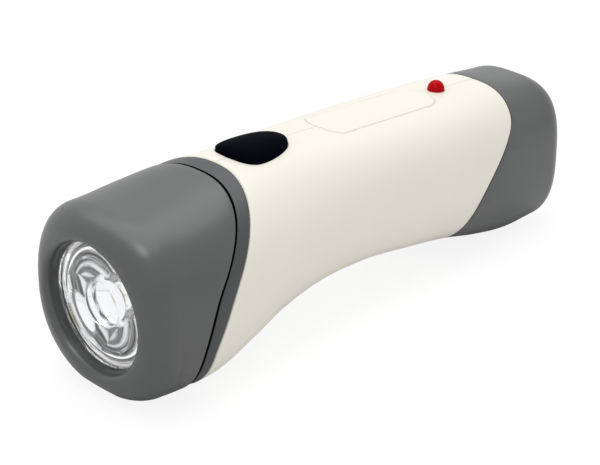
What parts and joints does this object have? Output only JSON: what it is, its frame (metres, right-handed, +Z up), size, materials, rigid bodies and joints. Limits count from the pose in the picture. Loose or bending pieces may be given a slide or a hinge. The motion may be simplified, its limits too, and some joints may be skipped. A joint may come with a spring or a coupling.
{
  "type": "rechargeable flashlight",
  "caption": "Hand-held rechargeable LED flashlight: squared grey head with a clear lens, cream waisted body, black push button, red charge light and a folding mains plug in the grey tail.",
  "frame": {"origin": "on the ground plane under the middle of the flashlight, where it rests on the underside of its head and tail", "axes": "+Z up through the button, -Y along the beam, +Y toward the tail, +X to the side with no screw wells"},
  "size_m": [0.0528, 0.17, 0.0558],
  "materials": {
    "grey_plastic": "soft grey satin moulding",
    "charcoal_plastic": "darker grey satin moulding",
    "cream_plastic": "cream satin moulding",
    "clear_acrylic": "clear polished optic",
    "gasket_rubber": "matte natural silicone",
    "chrome_plating": "metallised reflector cup",
    "white_board": "white solder mask",
    "natural_plastic": "plain white moulding",
    "phosphor": "yellow emitter",
    "circuit_board": "green board",
    "aluminium": "turned",
    "black_plastic": "black satin",
    "red_lens": "clear red",
    "cell_sleeve": "shrink sleeve on a metal can",
    "nickel_strip": "bare nickel",
    "zinc_steel": "zinc plated",
    "film_capacitor": "dipped",
    "resistor_body": "coated",
    "dark_plastic": "black moulding",
    "plated_brass": "plated",
    "red_insulation": "red insulation",
    "black_insulation": "black insulation"
  },
  "bodies": {
    "body": {"head_bezel": "grey_plastic", "head_collar": "charcoal_plastic", "tail_cap": "grey_plastic", "housing_left": "cream_plastic", "housing_right": "cream_plastic", "nameplate": "cream_plastic", "lens": "clear_acrylic", "lens_gasket": "gasket_rubber", "optic_holder": "chrome_plating", "optic_cradle": "natural_plastic", "led_emitter": "phosphor", "led_board": "white_board", "switch_board": "circuit_board", "charger_board": "circuit_board", "heat_spreader": "aluminium", "switch_case": "black_plastic", "bridge_rectifier": "black_plastic", "smoothing_capacitor": "black_plastic", "indicator_led": "red_lens", "battery_cell_1": "cell_sleeve", "battery_cell_2": "cell_sleeve", "battery_cell_3": "cell_sleeve", "cell_tab_front": "nickel_strip", "cell_tab_rear": "nickel_strip", "housing_screw_1": "zinc_steel", "housing_screw_2": "zinc_steel", "housing_screw_3": "zinc_steel", "housing_screw_4": "zinc_steel", "dropper_capacitor": "film_capacitor", "fuse_resistor": "resistor_body", "contact_spring_left": "plated_brass", "contact_spring_right": "plated_brass", "led_wire_right": "red_insulation", "led_wire_left": "black_insulation", "cell_wire_front": "red_insulation", "cell_wire_rear": "black_insulation", "charge_wire_right": "red_insulation", "charge_wire_left": "black_insulation", "mains_wire_right": "black_insulation", "mains_wire_left": "black_insulation"},
    "button": {"switch_button": "black_plastic"},
    "plunger": {"switch_plunger": "natural_plastic"},
    "plug": {"plug_rotor": "dark_plastic", "blade_left": "plated_brass", "blade_right": "plated_brass"}
  },
  "joints": [
    {"name": "button_press", "type": "slide", "parent": "body", "child": "button", "axis": [0, 0, -1], "range_m": [0, 0.0013], "stiffness_N_per_m": 400, "springref_m": -0.0003},
    {"name": "plunger_press", "type": "slide", "parent": "body", "child": "plunger", "axis": [0, 0, -1], "range_m": [0, 0.0013]},
    {"name": "plug_swing", "type": "hinge", "parent": "body", "child": "plug", "pos_m": [0, 0.0803, 0.0155], "axis": [-1, 0, 0], "range_deg": [0, 90]}
  ],
  "couplings": [
    {"joint": "plunger_press", "follows": "button_press", "ratio": 1}
  ]
}
